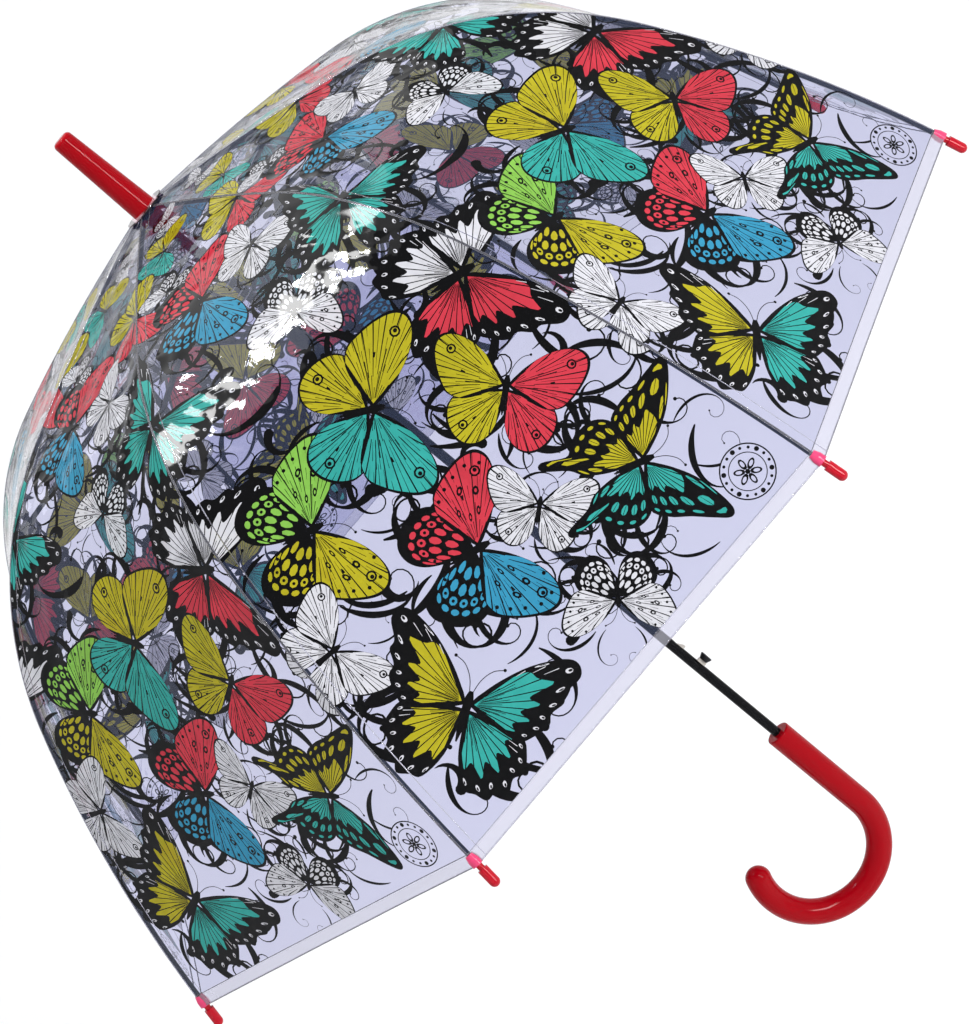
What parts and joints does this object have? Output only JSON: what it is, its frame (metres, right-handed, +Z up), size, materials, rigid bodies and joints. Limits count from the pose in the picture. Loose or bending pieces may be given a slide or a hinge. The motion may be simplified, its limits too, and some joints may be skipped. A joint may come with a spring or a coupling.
{
  "type": "dome umbrella",
  "caption": "Clear bubble umbrella with a deep dome of printed film, hooked red handle, red ferrule and rib tips, and a sliding, spring-opened folding frame.",
  "frame": {"origin": "on the shaft's axis, level with the lowest point of the hooked handle", "axes": "+Z up along the shaft to the ferrule, +X towards the side with the release button, -X towards the hook"},
  "size_m": [0.789, 0.789, 0.844],
  "materials": {
    "red_plastic": "glossy moulded",
    "black_steel": "satin black enamel",
    "black_plastic": "moulded",
    "cream_plastic": "moulded",
    "spring_steel": "drawn wire",
    "clear_film": "clear glossy film",
    "printed_film": "clear glossy film with a printed butterfly pattern"
  },
  "bodies": {
    "frame": {"shaft": "black_steel", "handle": "red_plastic", "ferrule": "red_plastic", "crown": "black_plastic", "film_collar": "clear_film", "latch_spring": "spring_steel"},
    "upper_runner": {"upper_runner": "black_plastic", "opening_spring": "spring_steel"},
    "lower_runner": {"lower_runner": "black_plastic"},
    "latch": {"latch_lever": "cream_plastic", "release_button": "black_plastic"},
    "rib_upper_1": {"rib_upper_1": "black_steel", "canopy_gore_1": "printed_film"},
    "rib_lower_1": {"rib_lower_1": "black_steel", "rib_tip_1": "red_plastic"},
    "stretcher_1": {"stretcher_1": "black_steel"},
    "push_arm_1": {"push_arm_1": "black_steel"},
    "rib_upper_2": {"rib_upper_2": "black_steel", "canopy_gore_2": "printed_film"},
    "rib_lower_2": {"rib_lower_2": "black_steel", "rib_tip_2": "red_plastic"},
    "stretcher_2": {"stretcher_2": "black_steel"},
    "push_arm_2": {"push_arm_2": "black_steel"},
    "rib_upper_3": {"rib_upper_3": "black_steel", "canopy_gore_3": "printed_film"},
    "rib_lower_3": {"rib_lower_3": "black_steel", "rib_tip_3": "red_plastic"},
    "stretcher_3": {"stretcher_3": "black_steel"},
    "push_arm_3": {"push_arm_3": "black_steel"},
    "rib_upper_4": {"rib_upper_4": "black_steel", "canopy_gore_4": "printed_film"},
    "rib_lower_4": {"rib_lower_4": "black_steel", "rib_tip_4": "red_plastic"},
    "stretcher_4": {"stretcher_4": "black_steel"},
    "push_arm_4": {"push_arm_4": "black_steel"},
    "rib_upper_5": {"rib_upper_5": "black_steel", "canopy_gore_5": "printed_film"},
    "rib_lower_5": {"rib_lower_5": "black_steel", "rib_tip_5": "red_plastic"},
    "stretcher_5": {"stretcher_5": "black_steel"},
    "push_arm_5": {"push_arm_5": "black_steel"},
    "rib_upper_6": {"rib_upper_6": "black_steel", "canopy_gore_6": "printed_film"},
    "rib_lower_6": {"rib_lower_6": "black_steel", "rib_tip_6": "red_plastic"},
    "stretcher_6": {"stretcher_6": "black_steel"},
    "push_arm_6": {"push_arm_6": "black_steel"},
    "rib_upper_7": {"rib_upper_7": "black_steel", "canopy_gore_7": "printed_film"},
    "rib_lower_7": {"rib_lower_7": "black_steel", "rib_tip_7": "red_plastic"},
    "stretcher_7": {"stretcher_7": "black_steel"},
    "push_arm_7": {"push_arm_7": "black_steel"},
    "rib_upper_8": {"rib_upper_8": "black_steel", "canopy_gore_8": "printed_film"},
    "rib_lower_8": {"rib_lower_8": "black_steel", "rib_tip_8": "red_plastic"},
    "stretcher_8": {"stretcher_8": "black_steel"},
    "push_arm_8": {"push_arm_8": "black_steel"}
  },
  "joints": [
    {"name": "lower_runner_slide", "type": "slide", "parent": "frame", "child": "lower_runner", "axis": [0, 0, 1], "range_m": [-0.3582, 0], "stiffness_N_per_m": 40, "springref_m": 0.45, "deforming": ["opening_spring", "canopy_gore_1", "canopy_gore_2", "canopy_gore_3", "canopy_gore_4", "canopy_gore_5", "canopy_gore_6", "canopy_gore_7", "canopy_gore_8"]},
    {"name": "upper_runner_slide", "type": "slide", "parent": "frame", "child": "upper_runner", "axis": [0, 0, 1], "range_m": [-0.398, 0]},
    {"name": "rib_fold_1", "type": "hinge", "parent": "frame", "child": "rib_upper_1", "pos_m": [0.01109, 0.00459, 0.7654], "axis": [-0.3827, 0.9239, 0], "range_deg": [0, 69.01]},
    {"name": "rib_flex_1", "type": "hinge", "parent": "rib_upper_1", "child": "rib_lower_1", "pos_m": [0.22915, 0.09492, 0.70073], "axis": [-0.3827, 0.9239, 0], "range_deg": [-36.01, 0]},
    {"name": "stretcher_turn_1", "type": "hinge", "parent": "upper_runner", "child": "stretcher_1", "pos_m": [0.01155, 0.00478, 0.708], "axis": [-0.3827, 0.9239, 0], "range_deg": [-85.86, 0]},
    {"name": "push_arm_turn_1", "type": "hinge", "parent": "lower_runner", "child": "push_arm_1", "pos_m": [0.01155, 0.00478, 0.638], "axis": [-0.3827, 0.9239, 0], "range_deg": [-38.62, 0]},
    {"name": "rib_fold_2", "type": "hinge", "parent": "frame", "child": "rib_upper_2", "pos_m": [0.00459, 0.01109, 0.7654], "axis": [-0.9239, 0.3827, 0], "range_deg": [0, 69.01]},
    {"name": "rib_flex_2", "type": "hinge", "parent": "rib_upper_2", "child": "rib_lower_2", "pos_m": [0.09492, 0.22915, 0.70073], "axis": [-0.9239, 0.3827, 0], "range_deg": [-36.01, 0]},
    {"name": "stretcher_turn_2", "type": "hinge", "parent": "upper_runner", "child": "stretcher_2", "pos_m": [0.00478, 0.01155, 0.708], "axis": [-0.9239, 0.3827, 0], "range_deg": [-85.86, 0]},
    {"name": "push_arm_turn_2", "type": "hinge", "parent": "lower_runner", "child": "push_arm_2", "pos_m": [0.00478, 0.01155, 0.638], "axis": [-0.9239, 0.3827, 0], "range_deg": [-38.62, 0]},
    {"name": "rib_fold_3", "type": "hinge", "parent": "frame", "child": "rib_upper_3", "pos_m": [-0.00459, 0.01109, 0.7654], "axis": [-0.9239, -0.3827, 0], "range_deg": [0, 69.01]},
    {"name": "rib_flex_3", "type": "hinge", "parent": "rib_upper_3", "child": "rib_lower_3", "pos_m": [-0.09492, 0.22915, 0.70073], "axis": [-0.9239, -0.3827, 0], "range_deg": [-36.01, 0]},
    {"name": "stretcher_turn_3", "type": "hinge", "parent": "upper_runner", "child": "stretcher_3", "pos_m": [-0.00478, 0.01155, 0.708], "axis": [-0.9239, -0.3827, 0], "range_deg": [-85.86, 0]},
    {"name": "push_arm_turn_3", "type": "hinge", "parent": "lower_runner", "child": "push_arm_3", "pos_m": [-0.00478, 0.01155, 0.638], "axis": [-0.9239, -0.3827, 0], "range_deg": [-38.62, 0]},
    {"name": "rib_fold_4", "type": "hinge", "parent": "frame", "child": "rib_upper_4", "pos_m": [-0.01109, 0.00459, 0.7654], "axis": [-0.3827, -0.9239, 0], "range_deg": [0, 69.01]},
    {"name": "rib_flex_4", "type": "hinge", "parent": "rib_upper_4", "child": "rib_lower_4", "pos_m": [-0.22915, 0.09492, 0.70073], "axis": [-0.3827, -0.9239, 0], "range_deg": [-36.01, 0]},
    {"name": "stretcher_turn_4", "type": "hinge", "parent": "upper_runner", "child": "stretcher_4", "pos_m": [-0.01155, 0.00478, 0.708], "axis": [-0.3827, -0.9239, 0], "range_deg": [-85.86, 0]},
    {"name": "push_arm_turn_4", "type": "hinge", "parent": "lower_runner", "child": "push_arm_4", "pos_m": [-0.01155, 0.00478, 0.638], "axis": [-0.3827, -0.9239, 0], "range_deg": [-38.62, 0]},
    {"name": "rib_fold_5", "type": "hinge", "parent": "frame", "child": "rib_upper_5", "pos_m": [-0.01109, -0.00459, 0.7654], "axis": [0.3827, -0.9239, 0], "range_deg": [0, 69.01]},
    {"name": "rib_flex_5", "type": "hinge", "parent": "rib_upper_5", "child": "rib_lower_5", "pos_m": [-0.22915, -0.09492, 0.70073], "axis": [0.3827, -0.9239, 0], "range_deg": [-36.01, 0]},
    {"name": "stretcher_turn_5", "type": "hinge", "parent": "upper_runner", "child": "stretcher_5", "pos_m": [-0.01155, -0.00478, 0.708], "axis": [0.3827, -0.9239, 0], "range_deg": [-85.86, 0]},
    {"name": "push_arm_turn_5", "type": "hinge", "parent": "lower_runner", "child": "push_arm_5", "pos_m": [-0.01155, -0.00478, 0.638], "axis": [0.3827, -0.9239, 0], "range_deg": [-38.62, 0]},
    {"name": "rib_fold_6", "type": "hinge", "parent": "frame", "child": "rib_upper_6", "pos_m": [-0.00459, -0.01109, 0.7654], "axis": [0.9239, -0.3827, 0], "range_deg": [0, 69.01]},
    {"name": "rib_flex_6", "type": "hinge", "parent": "rib_upper_6", "child": "rib_lower_6", "pos_m": [-0.09492, -0.22915, 0.70073], "axis": [0.9239, -0.3827, 0], "range_deg": [-36.01, 0]},
    {"name": "stretcher_turn_6", "type": "hinge", "parent": "upper_runner", "child": "stretcher_6", "pos_m": [-0.00478, -0.01155, 0.708], "axis": [0.9239, -0.3827, 0], "range_deg": [-85.86, 0]},
    {"name": "push_arm_turn_6", "type": "hinge", "parent": "lower_runner", "child": "push_arm_6", "pos_m": [-0.00478, -0.01155, 0.638], "axis": [0.9239, -0.3827, 0], "range_deg": [-38.62, 0]},
    {"name": "rib_fold_7", "type": "hinge", "parent": "frame", "child": "rib_upper_7", "pos_m": [0.00459, -0.01109, 0.7654], "axis": [0.9239, 0.3827, 0], "range_deg": [0, 69.01]},
    {"name": "rib_flex_7", "type": "hinge", "parent": "rib_upper_7", "child": "rib_lower_7", "pos_m": [0.09492, -0.22915, 0.70073], "axis": [0.9239, 0.3827, 0], "range_deg": [-36.01, 0]},
    {"name": "stretcher_turn_7", "type": "hinge", "parent": "upper_runner", "child": "stretcher_7", "pos_m": [0.00478, -0.01155, 0.708], "axis": [0.9239, 0.3827, 0], "range_deg": [-85.86, 0]},
    {"name": "push_arm_turn_7", "type": "hinge", "parent": "lower_runner", "child": "push_arm_7", "pos_m": [0.00478, -0.01155, 0.638], "axis": [0.9239, 0.3827, 0], "range_deg": [-38.62, 0]},
    {"name": "rib_fold_8", "type": "hinge", "parent": "frame", "child": "rib_upper_8", "pos_m": [0.01109, -0.00459, 0.7654], "axis": [0.3827, 0.9239, 0], "range_deg": [0, 69.01]},
    {"name": "rib_flex_8", "type": "hinge", "parent": "rib_upper_8", "child": "rib_lower_8", "pos_m": [0.22915, -0.09492, 0.70073], "axis": [0.3827, 0.9239, 0], "range_deg": [-36.01, 0]},
    {"name": "stretcher_turn_8", "type": "hinge", "parent": "upper_runner", "child": "stretcher_8", "pos_m": [0.01155, -0.00478, 0.708], "axis": [0.3827, 0.9239, 0], "range_deg": [-85.86, 0]},
    {"name": "push_arm_turn_8", "type": "hinge", "parent": "lower_runner", "child": "push_arm_8", "pos_m": [0.01155, -0.00478, 0.638], "axis": [0.3827, 0.9239, 0], "range_deg": [-38.62, 0]},
    {"name": "latch_press", "type": "slide", "parent": "frame", "child": "latch", "axis": [-1, 0, 0], "range_m": [0, 0.0022], "stiffness_N_per_m": 900, "springref_m": -0.001, "deforming": ["latch_spring"]}
  ],
  "couplings": [
    {"joint": "upper_runner_slide", "follows": "lower_runner_slide", "ratio": 1.1106},
    {"joint": "rib_fold_1", "follows": "lower_runner_slide", "rad_per_m": -3.3619},
    {"joint": "rib_flex_1", "follows": "lower_runner_slide", "rad_per_m": 1.754},
    {"joint": "stretcher_turn_1", "follows": "lower_runner_slide", "rad_per_m": 4.1825},
    {"joint": "push_arm_turn_1", "follows": "lower_runner_slide", "rad_per_m": 1.8811},
    {"joint": "rib_fold_2", "follows": "lower_runner_slide", "rad_per_m": -3.3619},
    {"joint": "rib_flex_2", "follows": "lower_runner_slide", "rad_per_m": 1.754},
    {"joint": "stretcher_turn_2", "follows": "lower_runner_slide", "rad_per_m": 4.1825},
    {"joint": "push_arm_turn_2", "follows": "lower_runner_slide", "rad_per_m": 1.8811},
    {"joint": "rib_fold_3", "follows": "lower_runner_slide", "rad_per_m": -3.3619},
    {"joint": "rib_flex_3", "follows": "lower_runner_slide", "rad_per_m": 1.754},
    {"joint": "stretcher_turn_3", "follows": "lower_runner_slide", "rad_per_m": 4.1825},
    {"joint": "push_arm_turn_3", "follows": "lower_runner_slide", "rad_per_m": 1.8811},
    {"joint": "rib_fold_4", "follows": "lower_runner_slide", "rad_per_m": -3.3619},
    {"joint": "rib_flex_4", "follows": "lower_runner_slide", "rad_per_m": 1.754},
    {"joint": "stretcher_turn_4", "follows": "lower_runner_slide", "rad_per_m": 4.1825},
    {"joint": "push_arm_turn_4", "follows": "lower_runner_slide", "rad_per_m": 1.8811},
    {"joint": "rib_fold_5", "follows": "lower_runner_slide", "rad_per_m": -3.3619},
    {"joint": "rib_flex_5", "follows": "lower_runner_slide", "rad_per_m": 1.754},
    {"joint": "stretcher_turn_5", "follows": "lower_runner_slide", "rad_per_m": 4.1825},
    {"joint": "push_arm_turn_5", "follows": "lower_runner_slide", "rad_per_m": 1.8811},
    {"joint": "rib_fold_6", "follows": "lower_runner_slide", "rad_per_m": -3.3619},
    {"joint": "rib_flex_6", "follows": "lower_runner_slide", "rad_per_m": 1.754},
    {"joint": "stretcher_turn_6", "follows": "lower_runner_slide", "rad_per_m": 4.1825},
    {"joint": "push_arm_turn_6", "follows": "lower_runner_slide", "rad_per_m": 1.8811},
    {"joint": "rib_fold_7", "follows": "lower_runner_slide", "rad_per_m": -3.3619},
    {"joint": "rib_flex_7", "follows": "lower_runner_slide", "rad_per_m": 1.754},
    {"joint": "stretcher_turn_7", "follows": "lower_runner_slide", "rad_per_m": 4.1825},
    {"joint": "push_arm_turn_7", "follows": "lower_runner_slide", "rad_per_m": 1.8811},
    {"joint": "rib_fold_8", "follows": "lower_runner_slide", "rad_per_m": -3.3619},
    {"joint": "rib_flex_8", "follows": "lower_runner_slide", "rad_per_m": 1.754},
    {"joint": "stretcher_turn_8", "follows": "lower_runner_slide", "rad_per_m": 4.1825},
    {"joint": "push_arm_turn_8", "follows": "lower_runner_slide", "rad_per_m": 1.8811}
  ]
}
